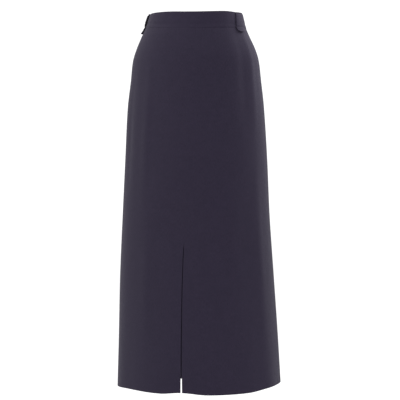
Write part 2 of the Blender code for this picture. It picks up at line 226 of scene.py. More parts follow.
# Creases and soft swells. Negative rises are troughs.
CREASES = (
    # turn, height, half_length, half_width, rise, lean in degrees from upright
    (-34.0, -0.290, 0.240, 0.013, 0.0020, 1.0),
    (-58.0, -0.290, 0.200, 0.015, -0.0020, 0.0),
    (-30.0, -0.650, 0.230, 0.016, 0.0016, -1.0),
    (70.0, -0.150, 0.200, 0.013, 0.0020, 2.5),
    (57.0, -0.160, 0.180, 0.015, -0.0018, 2.5),
    (67.0, -0.600, 0.340, 0.015, 0.0020, 0.5),
    (51.0, -0.600, 0.280, 0.020, -0.0018, 0.5),
    (-30.0, -0.088, 0.040, 0.005, -0.0006, 84.0),
    (-3.0, -0.066, 0.030, 0.005, -0.0004, 88.0),
    (34.0, -0.150, 0.024, 0.005, -0.0003, 80.0),
    (-22.0, -0.004, 0.018, 0.004, -0.0003, 86.0),
    (4.0, -0.500, 0.120, 0.070, -0.0040, 90.0),
    (30.0, -0.620, 0.160, 0.045, -0.0025, 8.0),
    # the back
    (148.0, -0.190, 0.050, 0.008, -0.0007, 78.0),
    (-150.0, -0.200, 0.055, 0.008, -0.0007, 100.0),
    (128.0, -0.420, 0.260, 0.016, 0.0016, -1.0),
    (112.0, -0.400, 0.240, 0.015, -0.0014, -1.0),
    (-126.0, -0.450, 0.280, 0.016, 0.0016, 1.0),
    (-108.0, -0.380, 0.220, 0.016, -0.0014, 1.0),
    (172.0, -0.620, 0.220, 0.018, -0.0014, 1.0),
    (-165.0, -0.700, 0.200, 0.018, 0.0014, -1.0),
)


def blend_rows(rows, at):
    """The columns of a table at values of its first column, on a smooth curve through the rows."""
    rows = np.array(sorted(rows))
    at = np.clip(at, rows[0, 0], rows[-1, 0])
    low = np.clip(np.searchsorted(rows[:, 0], at, side="right") - 1, 0, len(rows) - 2)
    before, start, end, after = (rows[np.clip(low + k, 0, len(rows) - 1)] for k in (-1, 0, 1, 2))
    span = end[..., :1] - start[..., :1]
    t = (at[..., None] - start[..., :1]) / span
    slope_start = (end - before)[..., 1:] / (end - before)[..., :1] * span
    slope_end = (after - start)[..., 1:] / (after - start)[..., :1] * span
    return (
        start[..., 1:] * (2 * t**3 - 3 * t**2 + 1)
        + slope_start * (t**3 - 2 * t**2 + t)
        + end[..., 1:] * (3 * t**2 - 2 * t**3)
        + slope_end * (t**3 - t**2)
    )


def smooth_step(low, high, value):
    t = np.clip((value - low) / (high - low), 0.0, 1.0)
    return t * t * (3.0 - 2.0 * t)


def bell(value, width):
    """A smooth hump: 1 at nothing, faded beyond a width to either side."""
    return np.exp(-((value / width) ** 2))


def seam_height(turn):
    middle = np.where(np.cos(turn) > 0, SEAM_AT_FRONT, SEAM_AT_BACK)
    return SEAM_AT_SIDE + (middle - SEAM_AT_SIDE) * np.cos(turn) ** 2 - SEAM_TILT * np.sin(turn)


def top_height(turn):
    return WAIST_TOP + blend_rows(TOP_EDGE, np.degrees(turn))[..., 0]


def hem_height(turn):
    return blend_rows(HEM, np.degrees(turn))[..., 0]


def wrapped(degrees):
    return (degrees + 180.0) % 360.0 - 180.0


def fold_rise(turn, height):
    rise = np.zeros_like(turn)
    for middle, half_angle, at_hem, start in FOLDS:
        away = wrapped(np.degrees(turn) - middle)
        down = np.clip((start - height) / (start - HEM[0][1]), 0.0, 1.0)
        wave = np.cos(np.pi / 2 * np.clip(away / half_angle, -1.0, 1.0)) ** 2
        rise += at_hem * down**FOLD_POWER * wave
    return rise


def slit_lean(turn, height):
    down = np.clip(height / SLIT_TOP, 0.0, 1.0)
    back_up = np.clip((SLIT_TOP - height) / (SLIT_TOP - HEM[0][1]), 0.0, 1.0)
    return math.radians(SLIT_LEAN) * down * (1.0 - back_up) ** 2 * np.maximum(np.cos(turn), 0.0) ** 2


def on_section(turn, height):
    turn, height = np.broadcast_arrays(np.asarray(turn, float), np.asarray(height, float))
    half_width, front_depth, back_depth, sway = np.moveaxis(blend_rows(SECTIONS, height), -1, 0)
    turned = turn + slit_lean(turn, height)
    depth = np.where(np.cos(turned) > 0, front_depth, back_depth)
    out = fold_rise(turn, height)
    x = sway + (half_width + out) * np.sin(turned)
    y = -(depth + out) * np.cos(turned)
    return np.stack((x, y, height), -1)


def outward(turn, height):
    """The cloth's outward normals."""
    step_turn, step_height = 1e-3, 1e-4
    along = on_section(turn + step_turn, height) - on_section(turn - step_turn, height)
    up = on_section(turn, height + step_height) - on_section(turn, height - step_height)
    normal = np.cross(along, up)
    return normal / np.linalg.norm(normal, axis=-1, keepdims=True)


def pace(turn, height):
    """Length round the cloth for one radian of turn."""
    step = 1e-3
    ahead = on_section(turn + step, height) - on_section(turn, height)
    return np.linalg.norm(ahead, axis=-1) / step


def moved(turn, distance, height):
    """The turn that lies a distance further round the cloth."""
    turn, distance, height = np.broadcast_arrays(turn, distance, np.asarray(height, float))
    return turn + distance / pace(turn, height)


def across_from(middle, turn):
    """Distance round the body from a turn in degrees."""
    return np.radians(wrapped(np.degrees(turn) - middle)) * WORN_RADIUS


def crease_rise(turn, height):
    rise = np.zeros_like(turn)
    for middle, middle_height, half_length, half_width, peak, lean in CREASES:
        across = across_from(middle, turn)
        up = height - middle_height
        tilt = math.radians(lean)
        along = up * math.cos(tilt) + across * math.sin(tilt)
        aside = across * math.cos(tilt) - up * math.sin(tilt)
        rise += peak * np.clip(1.0 - (along / half_length) ** 2, 0.0, 1.0) ** 2 * bell(aside, half_width)
    return rise


def dart_rise(turn, height):
    """The back's two darts: a stitched ditch that fades to a point, with a slight swell below it."""
    aside = (np.degrees(np.abs(turn)) - DART_TURN) * DART_DEGREE
    top = seam_height(turn)
    down = np.clip((top - height) / DART_LENGTH, 0.0, 2.0)
    ditch = -DART_DEPTH * np.clip(1.0 - down, 0.0, 1.0) ** DART_FADE * bell(aside, DART_HALF_WIDTH)
    swell = DART_SWELL * bell(aside, DART_SWELL_WIDTH) * bell(down - DART_SWELL_AT, DART_SWELL_LENGTH)
    return np.where(height < top + DART_OVER_SEAM, ditch + swell, 0.0)


def pucker_rise(turn, height):
    """Slight waves along the upright seams and the zip."""
    rise = np.zeros_like(turn)
    for seam, reach, peak, wave in PUCKERS:
        run = height / wave
        phase = run + PUCKER_DRIFT * np.sin(run * PUCKER_DRIFT_PACE + seam) + seam
        strength = 1.0 - PUCKER_SWELL * (1.0 - np.sin(height * PUCKER_SWELL_PACE + seam))
        rise += peak * strength * np.sin(2 * math.pi * phase) * bell(across_from(seam, turn), reach)
    return rise * smooth_step(0.0, FADE_IN, seam_height(turn) - height)


def press_rise(turn, height):
    """Faint lines that pressing leaves on the face, over the edges of the slit's facings and the hem."""
    across = turn * WORN_RADIUS
    beside = smooth_step(*PRESS_STARTS, across) * (1.0 - smooth_step(*PRESS_ENDS, across))
    lines = bell(height - FACING_TOP, PRESS_HALF_WIDTH) * beside * np.cos(0.5 * turn)
    for edge, share in PRESSED_EDGES:
        line = bell(across - edge, PRESS_HALF_WIDTH)
        lines = lines + share * line * smooth_step(0.0, FADE_IN, FACING_TOP - height)
    above_hem = height - hem_height(turn) - HEM_DEPTH
    return PRESS_RISE * (lines + PRESSED_HEM * bell(above_hem, PRESS_HALF_WIDTH))


# How strongly the waist seam shows round the waist, nothing at the zip.
SEAM_SHOW = (
    # turn, share of the hollow, share of the fold
    (-180.0, 0.0, 0.0),
    (-165.0, 0.0, 0.0),
    (-140.0, 0.6, 0.6),
    (-90.0, 0.8, 0.8),
    (-72.0, 1.4, 1.0),
    (-45.0, 1.6, 0.9),
    (-26.0, 1.3, 0.3),
    (-10.0, 0.4, 0.0),
    (7.0, 0.4, 0.0),
    (18.0, 0.8, 0.9),
    (90.0, 0.8, 1.0),
    (140.0, 0.6, 0.6),
    (165.0, 0.0, 0.0),
    (180.0, 0.0, 0.0),
)
SEAM_DROP = 0.0005  # from the seam's line down to its visible fold
HOLLOW_DEPTH = 0.0008  # of the hollow over the ends of the seam's turnings
HOLLOW_UP = 0.0095  # from the fold up to the middle of the hollow
HOLLOW_REACH = 0.0050
ROLL_DEPTH = 0.0006  # how far the band rolls in to the fold
ROLL_UP = 0.0040  # length over which it does
STEP_DEPTH = 0.0004  # how much further in the skirt lies, just under the fold
STEP_COMES = (0.0002, 0.0010)  # distances below the fold between which the step comes in
STEP_REACH = 0.0120  # how slowly it goes out again


def seam_sink(turn, height):
    """How far the cloth sinks by the waist seam: above its turnings, at its fold and in a step below."""
    above = height - seam_height(turn) + SEAM_DROP
    below = np.maximum(-above, 0.0)
    show = blend_rows(SEAM_SHOW, wrapped(np.degrees(turn)))
    hollow = HOLLOW_DEPTH * bell(above - HOLLOW_UP, HOLLOW_REACH)
    roll = ROLL_DEPTH * (1.0 - smooth_step(0.0, ROLL_UP, above))
    fold = (roll + STEP_DEPTH * smooth_step(*STEP_COMES, below)) * np.exp(-below / STEP_REACH)
    return hollow * show[..., 0] + fold * show[..., 1]


def on_cloth(turn, height, depth):
    turn, height = np.broadcast_arrays(np.asarray(turn, float), np.asarray(height, float))
    out = crease_rise(turn, height) + dart_rise(turn, height) + pucker_rise(turn, height)
    out = out + press_rise(turn, height) - depth
    return on_section(turn, height) + out[..., None] * outward(turn, height)


# ---- turned edges, grids and meshes


def half_turn(radius, count):
    """(inset from the edge line, depth below the face, swing) round a fold of cloth."""
    swings = np.linspace(0.0, math.pi, count + 1)
    return [(THICK / 2 + radius * (1.0 - math.sin(s)), radius * (1.0 - math.cos(s)), s) for s in swings]


def turned_edge(back, ease=EASE):
    """Steps like a half turn's, with those that lead up to it on the face and go on behind it."""
    face = [(inset, 0.0, 0.0) for inset in ease]
    behind = [(ARC_START + distance, 2 * EDGE_RADIUS, math.pi) for distance in back]
    return face + half_turn(EDGE_RADIUS, ARC_STEPS) + behind


def spread(width, count):
    return [width * (step + 1) / count for step in range(count)]


# Columns and rows are (share, shift, dip, swing): share of the panel's width or height, distance
# beyond it, depth below the face and how far the cloth has swung round its turned edge.


def plain(shares):
    return [(share, 0.0, 0.0, 0.0) for share in shares]


def round_edge(share, sign, edge):
    """Columns or rows of a turned edge, whose line lies at a share."""
    return [(share, sign * inset, dip, swing) for inset, dip, swing in edge]


def columns_across(low_edge, count, high_edge):
    middle = plain(np.linspace(EDGE_SHARE, 1.0 - EDGE_SHARE, count))
    return np.array(round_edge(0.0, 1, low_edge[::-1]) + middle + round_edge(1.0, -1, high_edge))


def cloth_grid(columns, rows, nominal, edges, limits, extra_depth, flatten=None):
    """Points of a panel's middle layer, as an array of rows by columns.

    nominal holds the two edges' turns, for the rows' heights, and edges gives the edges' turns at
    a height. limits are functions for the panel's top and bottom.
    """
    share, shift, dip, swing = columns.T
    row_share, row_shift, row_dip, row_swing = (rows[:, k : k + 1] for k in range(4))
    turn0 = nominal[0] + (nominal[1] - nominal[0]) * share + shift / WORN_RADIUS
    top, bottom = limits[0](turn0), limits[1](turn0)
    height = top + (bottom - top) * row_share + row_shift
    shift, dip, swing = (np.broadcast_to(values, height.shape).copy() for values in (shift, dip, swing))
    if flatten is not None:
        flatten(shift, dip)
    low, high = edges(height, row_swing)
    turn = moved(low + (high - low) * share, shift, height)
    depth = THICK / 2 + row_dip + dip * np.cos(row_swing) + seam_sink(turn, height)
    return on_cloth(turn, height, depth + extra_depth(turn, height, swing, row_swing))


def numbered(grid, start=0):
    """The places of a grid's points in a list, as an array of rows by columns."""
    return start + np.arange(grid.shape[0] * grid.shape[1]).reshape(grid.shape[:2])


def cells(index, keep=True):
    """Quads of a grid, seen from outside; keep says which of its cells stay."""
    quads = np.stack((index[:-1, :-1], index[1:, :-1], index[1:, 1:], index[:-1, 1:]), -1)
    return quads[np.broadcast_to(keep, quads.shape[:2])]


def ring_faces(rings, sides, base=0):
    """Quads between rings of points that follow one another."""
    index = base + np.arange(rings * sides).reshape(rings, sides)
    after = np.roll(index, -1, axis=1)
    return np.stack((index[:-1], after[:-1], after[1:], index[1:]), -1).reshape(-1, 4).tolist()


def lengths_along(points, axis):
    """Distance run along one axis of a grid of points."""
    steps = np.linalg.norm(np.diff(points, axis=axis), axis=-1)
    start = np.zeros_like(np.take(steps, [0], axis=axis))
    return np.cumsum(np.concatenate((start, steps), axis=axis), axis=axis)


def grain(points, centre_column, up=-1.0):
    """The cloth's own coordinates in metres: across from one column, and up that column."""
    across = lengths_along(points, 1)
    across = across - across[:, centre_column : centre_column + 1]
    along = up * lengths_along(points, 0)[:, centre_column : centre_column + 1]
    return np.stack((across, np.broadcast_to(along, across.shape)), -1).reshape(-1, 2)


def add_object(name, data):
    piece = bpy.data.objects.new(name, data)
    bpy.context.scene.collection.objects.link(piece)
    return piece


def add_mesh(name, points, faces, coordinates=None):
    mesh = bpy.data.meshes.new(name)
    mesh.from_pydata([tuple(p) for p in np.asarray(points, float)], [], faces)
    if coordinates is not None:
        layer = mesh.uv_layers.new(name="grain")
        corner = np.empty(len(mesh.loops), np.int32)
        mesh.loops.foreach_get("vertex_index", corner)
        layer.uv.foreach_set("vector", np.asarray(coordinates, np.float32)[corner].ravel())
    mesh.shade_smooth()
    return add_object(name, mesh)


def add_sheet(name, points, faces, coordinates, thickness=THICK):
    """A thin shell of cloth on both sides of its middle layer."""
    used, places = np.unique(faces, return_inverse=True)
    faces = places.reshape(faces.shape).tolist()
    piece = add_mesh(name, points.reshape(-1, 3)[used], faces, coordinates[used])
    solidify = piece.modifiers.new("thickness", "SOLIDIFY")
    solidify.thickness = thickness
    solidify.offset = 0.0
    solidify.use_rim = True
    return piece


# ---- the skirt's panels

TUCKED = (
    # distance above the waist seam, depth in layers: the seam's turnings and the visible fold
    (0.0080, 2.0),
    (0.0020, 2.0),
    (0.0005, 1.9),
    (-0.0001, 1.3),
    (-0.0006, 0.6),
    (-0.0012, 0.15),
    (-0.0018, 0.0),
    (-0.0035, 0.0),
    (-0.0070, 0.0),
)
ABOVE_SLIT = 0.0018  # the last row above the slit's top
HEM_COMES_DOWN = 0.012  # length over which the hem comes down beside a seam's allowances
FACING_COMES_DOWN = 0.015  # and over which a facing does, above the hem


def skirt_rows():
    """Rows down a panel, and the index of the row at the slit's top."""
    top, bottom = seam_height(0.0), hem_height(0.0)
    at_slit = (top - SLIT_TOP) / (top - bottom)
    rows = [(0.0, up, layers * PITCH, 0.0) for up, layers in TUCKED]
    rows += plain(at_slit * (k + 1.5) / (ROWS_ABOVE + 1.5) for k in range(ROWS_ABOVE))
    rows.append((at_slit, ABOVE_SLIT, 0.0, 0.0))
    slit_row = len(rows)
    rows += plain(np.linspace(at_slit, 1.0, ROWS_BELOW + 2)[:-1])
    rows += round_edge(1.0, 1, turned_edge(spread(HEM_DEPTH, HEM_ROWS), EASE[1:]))
    return np.array(rows), slit_row


def seam_turn(side, height, beyond):
    """Turn of a side seam's edge line: beyond is 1 on the back's side of it and -1 on the front's."""
    return moved(side * math.pi / 2, side * beyond * SEWN_GAP / 2, height)


def slit_turn(side, height):
    """Turn of the slit's edge line, at the centre front above the slit's top."""
    share = np.clip((SLIT_TOP - height) / (SLIT_TOP - hem_height(0.0)), 0.0, 1.0)
    gap = SLIT_GAP_TOP + (SLIT_GAP_HEM - SLIT_GAP_TOP) * share**SLIT_GAP_POWER
    opened = SLIT_START + (1.0 - SLIT_START) * smooth_step(0.0, SLIT_EASE, SLIT_TOP - height)
    return moved(0.0, side * np.where(height <= SLIT_TOP + 1e-6, gap * opened / 2, 0.0), height)


def centre_back_turn(side, height):
    """Turn of the centre back's edge line: open at the slider's neck, nearly closed elsewhere."""
    zip_share = smooth_step(*ZIP_ENDS, height)
    neck_share = smooth_step(*ZIP_OPENS, height) - smooth_step(*ZIP_CLOSES, height)
    gap = SEWN_GAP + (ZIP_EDGES - SEWN_GAP) * zip_share + (ZIP_GAP - ZIP_EDGES) * neck_share
    return moved(side * math.pi, -side * gap / 2, height)


def hem_over_allowances(turn, height, column_swing, row_swing):
    """The turned-up hem rides over the side seams' allowances."""
    from_side = np.abs(np.abs(turn) - math.pi / 2) * WORN_RADIUS
    near = 1.0 - smooth_step(SEAM_ALLOWANCE, SEAM_ALLOWANCE + HEM_COMES_DOWN, from_side)
    return PITCH * near * (row_swing > math.pi - SWING_SLACK)


def facing_over_hem(turn, height, column_swing, row_swing):
    """The slit's facings lie over the turned-up hem."""
    above_hem = height - hem_height(turn)
    near_hem = 1.0 - smooth_step(HEM_DEPTH, HEM_DEPTH + FACING_COMES_DOWN, above_hem)
    facing = (column_swing > RIGHT_ANGLE) & (np.abs(turn) < math.pi / 4)
    return hem_over_allowances(turn, height, column_swing, row_swing) + PITCH * near_hem * facing


def quarter(side, is_front):
    """Turns between which a half of the front or a back panel lies."""
    near = 0.0 if is_front else math.pi / 2
    return (near, near + math.pi / 2) if side > 0 else (-near - math.pi / 2, -near)


def with_dart_columns(columns, side):
    """Closer columns beside the dart."""
    share = (DART_TURN - 90.0) / 90.0 if side > 0 else (180.0 - DART_TURN) / 90.0
    clear = np.abs(columns[:, 0] - share) > DART_CLEAR
    beside = [(share, shift, 0.0, 0.0) for shift in DART_COLUMNS]
    before = columns[clear & (columns[:, 0] < share)]
    after = columns[clear & (columns[:, 0] > share)]
    return np.concatenate((before, beside, after))


def panel_part(side, is_front, turned_width, turned_columns, start=0, shared=None):
    """Half of the front, or a back panel: points, faces, grain and the centre's places above the slit.

    The front's halves are one cloth above the slit: the second half gets the first one's places.
    """
    rows, slit_row = skirt_rows()
    seam_edge = turned_edge(spread(SEAM_ALLOWANCE, ALLOWANCE_COLUMNS))
    centre_edge = turned_edge(spread(turned_width, turned_columns))
    centre_first = is_front == (side > 0)
    low, high = (centre_edge, seam_edge) if centre_first else (seam_edge, centre_edge)
    columns = columns_across(low, HALF_COLUMNS, high)
    if not is_front:
        columns = with_dart_columns(columns, side)
    at_centre = columns[:, 0] == (0.0 if centre_first else 1.0)
    swings = columns[:, 3]

    def flatten(shift, dip):
        arc = at_centre & (swings > 0)
        inset = ARC_START * (1.0 - swings[arc] / (math.pi / 2))
        shift[:slit_row, arc] = side * np.maximum(inset, 0.0)
        dip[:slit_row, at_centre] = 0.0

    def edges(height, row_swing):
        seam = seam_turn(side, height, -1 if is_front else 1)
        centre = slit_turn(side, height) if is_front else centre_back_turn(side, height)
        return (centre, seam) if centre_first else (seam, centre)

    on_face = np.maximum(swings[:-1], swings[1:]) < RIGHT_ANGLE
    above_slit = is_front & (np.arange(len(rows) - 1) < slit_row)[:, None]
    turned_in = (rows[1:, 3:] == 0.0) & ~(above_slit & at_centre[:-1] & at_centre[1:])
    nominal, limits = quarter(side, is_front), (seam_height, hem_height)
    shaped = (facing_over_hem, flatten) if is_front else (hem_over_allowances,)
    grid = cloth_grid(columns, rows, nominal, edges, limits, *shaped)
    centre = int(np.flatnonzero(at_centre & (np.abs(swings - math.pi / 2) < SWING_SLACK))[0])
    index = numbered(grid, start)
    if shared is not None:
        index[:slit_row, centre] = shared
    faces = cells(index, on_face | turned_in)
    return grid.reshape(-1, 3), faces, grain(grid, centre), index[:slit_row, centre]


def make_front():
    """The front panel: two halves, one cloth above the slit, each with its own turned edge beside it."""
    *right, shared = panel_part(-1, True, FACING_RIGHT, FACING_COLUMNS)
    *left, _ = panel_part(1, True, FACING_LEFT, FACING_COLUMNS, len(right[0]), shared)
    return add_sheet("front_cloth", *(np.concatenate(pair) for pair in zip(right, left)))


def make_back(side, name):
    *parts, _ = panel_part(side, False, CENTRE_ALLOWANCE, ALLOWANCE_COLUMNS)
    return add_sheet(name, *parts)


# ---- the waistband

BAND_TOP_RADIUS = 0.0009
BAND_TOP_STEPS = 8
BAND_BELOW_SEAM = 0.005
BAND_INNER_DEPTH = 0.0027
BAND_INNER_FIRST = 0.0030  # from the top down to the inner layer's first row
BAND_INNER_START = 0.14  # share of the band's height at which its other rows start
BAND_FACE = (0.80, 0.20)  # shares between which the face's plain rows lie
BAND_ROWS = 12
BAND_EASE = (0.0045, 0.0025, 0.0013)
BAND_TURNING = 0.003  # of the turned bottom edge, behind its face
BAND_OVER_ZIP = 0.0018
BAND_OVER_ZIP_ENDS = (0.012, 0.024)  # distances from the centre back
SEAM_PRESS = 0.00025  # how far the band's turned bottom edge is pressed past the visible fold
ZIP_CLEAR = 0.0048
BAND_ROLL = (
    # below the top, dip of the groove that the understitching pulls in
    (0.0050, 0.0),
    (0.0036, 0.0),
    (0.0030, 0.00010),
    (0.0025, 0.00028),
    (0.0020, 0.00010),
)


def band_rows():
    """Rows of the band: turned bottom edge, outer layer, folded top, inner layer to below the seam."""
    rows = round_edge(1.0, 1, turned_edge([BAND_TURNING], BAND_EASE)[::-1])
    rows += plain(np.linspace(*BAND_FACE, BAND_ROWS))
    rows += [(0.0, -inset, dip, 0.0) for inset, dip in BAND_ROLL]
    fold = half_turn(BAND_TOP_RADIUS, BAND_TOP_STEPS)
    rows += [(0.0, -inset, dip, -swing) for inset, dip, swing in fold]
    inner_top = 2 * BAND_TOP_RADIUS
    rows.append((0.0, -BAND_INNER_FIRST, inner_top, -math.pi))
    for share in np.linspace(BAND_INNER_START, 1.0, BAND_ROWS):
        rows.append((share, 0.0, inner_top + share * (BAND_INNER_DEPTH - inner_top), -math.pi))
    rows.append((1.0, -BAND_BELOW_SEAM, BAND_INNER_DEPTH, -math.pi))
    return np.array(rows)


def band_bottom(turn):
    return seam_height(turn) - SEAM_DROP - SEAM_PRESS


def inwards(row_swing):
    """0 on the band's outer layer, rising to 1 round its folded top."""
    return (row_swing < 0.0) * (1.0 - np.cos(row_swing)) / 2


def band_over_zip(turn, height, column_swing, row_swing):
    """The band's inner layer lies over the zip's tapes."""
    from_centre = (math.pi - np.abs(turn)) * SECTIONS[0][1]
    return BAND_OVER_ZIP * (1.0 - smooth_step(*BAND_OVER_ZIP_ENDS, from_centre)) * inwards(row_swing)


def make_band(name, columns_count, nominal, edges):
    edge = [step for step in turned_edge([], EASE_BESIDE) if step[2] < RIGHT_ANGLE]
    columns = columns_across(edge, columns_count, edge)
    grid = cloth_grid(columns, band_rows(), nominal, edges, (top_height, band_bottom), band_over_zip)
    return add_sheet(name, grid, cells(numbered(grid))[:, ::-1], grain(grid, grid.shape[1] // 2, up=1.0))


def make_front_band(name):
    def edges(height, row_swing):
        return seam_turn(-1, height, -1), seam_turn(1, height, -1)

    return make_band(name, BAND_COLUMNS, (-math.pi / 2, math.pi / 2), edges)


def make_back_band(side, name):
    """Half of the band's back: its inner layer stops short of the zip, its folded top runs up to it."""

    def edges(height, row_swing):
        seam = seam_turn(side, height, 1)
        centre = moved(centre_back_turn(side, height), -side * ZIP_CLEAR * inwards(row_swing), height)
        return (seam, centre) if side > 0 else (centre, seam)

    return make_band(name, BAND_COLUMNS // 2, quarter(side, False), edges)


# ---- belt loops

LOOP_STATIONS = 34
LOOP_TIP_STATIONS = 14
LOOP_RING = 44
LOOP_CROWN = 0.00025
LOOP_SIDE_POWER = 0.35  # these two square up the strip's rounded section
LOOP_FACE_POWER = 0.75
LOOP_TIP_THICK = 0.0004
LOOP_TIP_TAPER = 0.3
TACK_WIDTH = 0.0016
TACK_BELOW_TOP = 0.0030
TACK_SQUEEZE = 0.50
TACK_SHARE = 0.93  # of the loop's width


def loop_stations(turn_degrees, lean_degrees, gap, thickness, free_length, flare):
    """Stations down a loop, its seam and its top.

    A station is (turn of the middle, height, gap under the strip, half width, half thickness).
    """
    at_seam, lean = math.radians(turn_degrees), math.radians(lean_degrees)
    seam, top = seam_height(at_seam), top_height(at_seam + lean) - SEAM_GAP
    run = np.linspace(0.0, LOOP_RUN[-1][0], LOOP_STATIONS)
    swing = LOOP_END_SWING * np.array(spread(1.0, LOOP_TIP_STATIONS))
    tip = np.sin(swing) / math.sin(LOOP_END_SWING)
    start = top + (seam - top) * run[-1]
    height = np.append(top + (seam - top) * run, start + (seam - free_length - start) * tip)
    stand_off = np.append(gap * blend_rows(LOOP_RUN, run)[:, 0], flare * tip**LOOP_FLARE_POWER)
    half = LOOP_WIDTH / 2 * np.append(np.ones_like(run), np.cos(swing) ** LOOP_END_POWER)
    middle = at_seam + lean * (height - seam) / (top - seam)
    tack = bell(height - seam, TACK_WIDTH) + bell(height - top + TACK_BELOW_TOP, TACK_WIDTH)
    half_thick = thickness / 2 * (1.0 - TACK_SQUEEZE * np.minimum(tack, 1.0))
    half_thick = np.minimum(half_thick, LOOP_TIP_TAPER * half + LOOP_TIP_THICK)
    return np.stack((middle, height, SEAM_GAP + stand_off, half, half_thick), -1), seam, top


def power(value, exponent):
    return np.sign(value) * np.abs(value) ** exponent


def make_loop(side, *shape):
    """A belt loop: a turned strip that stands off the band, tacked at both ends, with a free tip."""
    stations, _, _ = loop_stations(*shape)
    middle, height, gap, half, half_thick = (values[:, None] for values in stations.T)
    angles = np.linspace(0.0, 2 * math.pi, LOOP_RING, endpoint=False)
    along = half * power(np.cos(angles), LOOP_SIDE_POWER)
    out = gap + half_thick + half_thick * power(np.sin(angles), LOOP_FACE_POWER)
    crown = LOOP_CROWN * (1.0 - (along / half) ** 2) * (np.sin(angles) > 0)
    rings = on_cloth(moved(middle, along, height), height, -(out + crown))
    points = np.concatenate((rings.reshape(-1, 3), [rings[0].mean(0), rings[-1].mean(0)]))
    faces = [(a, d, c, b) for a, b, c, d in ring_faces(len(rings), LOOP_RING)]
    last_ring, top_middle, tip_middle = len(points) - 2 - LOOP_RING, len(points) - 2, len(points) - 1
    for k in range(LOOP_RING):
        after = (k + 1) % LOOP_RING
        faces.append((k, after, top_middle))
        faces.append((last_ring + after, last_ring + k, tip_middle))
    across = lengths_along(rings, 1)
    face_middle = LOOP_RING // 4
    across = across[:, face_middle : face_middle + 1] - across
    coordinates = np.stack((across, np.broadcast_to(height, across.shape)), -1).reshape(-1, 2)
    coordinates = np.concatenate((coordinates, [(0.0, height[0, 0]), (0.0, height[-1, 0])]))
    return add_mesh(f"loop_cloth_{side}", points, faces, coordinates)


# ---- stitches

STITCH_SIDES = 6
STITCH_PROFILE = (
    # share of the stitch's length, share of its radius, lift in radii
    (-0.50, 0.15, -0.90),
    (-0.42, 0.80, 0.10),
    (-0.20, 1.00, 0.75),
    (0.20, 1.00, 0.75),
    (0.42, 0.80, 0.10),
    (0.50, 0.15, -0.90),
)
STITCH_FLATNESS = 0.8
THREAD_RADIUS = 0.00022
STITCH_LENGTH = 0.0025
STITCH_SHARE = 0.82  # of a stitch's length that its thread shows
TAPE_STITCH_INSET = 0.0062
TAPE_STITCH_END = 0.002  # of the tape, without stitches
HEM_STITCH_STEP = 0.009
HEM_STITCH_HALF = 0.0022
HEM_STITCH_DOWN = 0.0016
HEM_STITCH_UP = 0.0018
HEM_STITCH_CLEAR = 0.004  # of the facings and of the centre back's allowances
HEM_STITCH_CLEAR_OF_SEAM = 0.014
THREAD_PROUD = 0.0001  # how far a stitch's end stands off the single layer


def add_stitches(name, lines):
    """Threads that rise out of the cloth, run a little way over it and dip in again.

    Each line is (starts, ends, the cloth's normals) of its stitches.
    """
    start, end, normal = (np.concatenate(parts)[:, None, None] for parts in zip(*lines))
    share, wide, lift = np.array(STITCH_PROFILE).T[:, None, :, None, None]
    angles = np.linspace(0.0, 2 * math.pi, STITCH_SIDES, endpoint=False)[:, None]
    aside = np.cross(normal, end - start) / np.linalg.norm(end - start, axis=-1, keepdims=True)
    spokes = aside * np.cos(angles) + normal * np.sin(angles) * STITCH_FLATNESS
    centres = (start + end) / 2 + (end - start) * share + normal * THREAD_RADIUS * lift
    points = (centres + spokes * THREAD_RADIUS * wide).reshape(-1, 3)
    faces = []
    for base in range(0, len(points), len(STITCH_PROFILE) * STITCH_SIDES):
        faces += ring_faces(len(STITCH_PROFILE), STITCH_SIDES, base)
    return add_mesh(name, points, faces)


def stitch_line(at, length):
    """Starts, ends and normals of stitches along a line, from a function of the distance along it."""
    count = max(int(round(length / STITCH_LENGTH)), 1)
    middles = (np.arange(count) + 0.5) * length / count
    reach = length / count * STITCH_SHARE / 2
    starts, normals = at(middles - reach)
    ends, _ = at(middles + reach)
    return starts, ends, normals


def loop_tack_line(height, stations):
    """The row of stitches across a loop at a height."""
    columns = stations[::-1].T
    middle, _, gap, half, half_thick = (np.interp(height, columns[1], values) for values in columns)
    half = half * TACK_SHARE

    def at(distance):
        along = distance - half
        turn = moved(middle, along, height)
        level = np.full_like(turn, height)
        crown = LOOP_CROWN * (1.0 - (along / half) ** 2)
        return on_cloth(turn, level, -(gap + 2 * half_thick + crown)), outward(turn, level)

    return stitch_line(at, 2 * half)


def loop_tacks():
    """The stitch rows that hold each belt loop, at the band's top and at the waist seam."""
    lines = []
    for _, *shape in LOOPS:
        stations, seam, top = loop_stations(*shape)
        lines += [loop_tack_line(height, stations) for height in (seam, top - TACK_BELOW_TOP)]
    return add_stitches("loop_stitches", lines)


def tape_stitches():
    """The stitching that holds the zip's tapes, seen from inside."""

    def at(side, distance):
        height = TAPE_TOP - TAPE_STITCH_END - distance
        depth = tape_depth(height) + TAPE_THICK / 2
        turns = np.full_like(height, side * math.pi)
        return at_centre_back(TAPE_STITCH_INSET, height, depth, side), -outward(turns, height)

    length = TAPE_TOP - TAPE_BOTTOM - 2 * TAPE_STITCH_END
    return add_stitches("tape_stitches", [stitch_line(partial(at, side), length) for side, _ in SIDES])


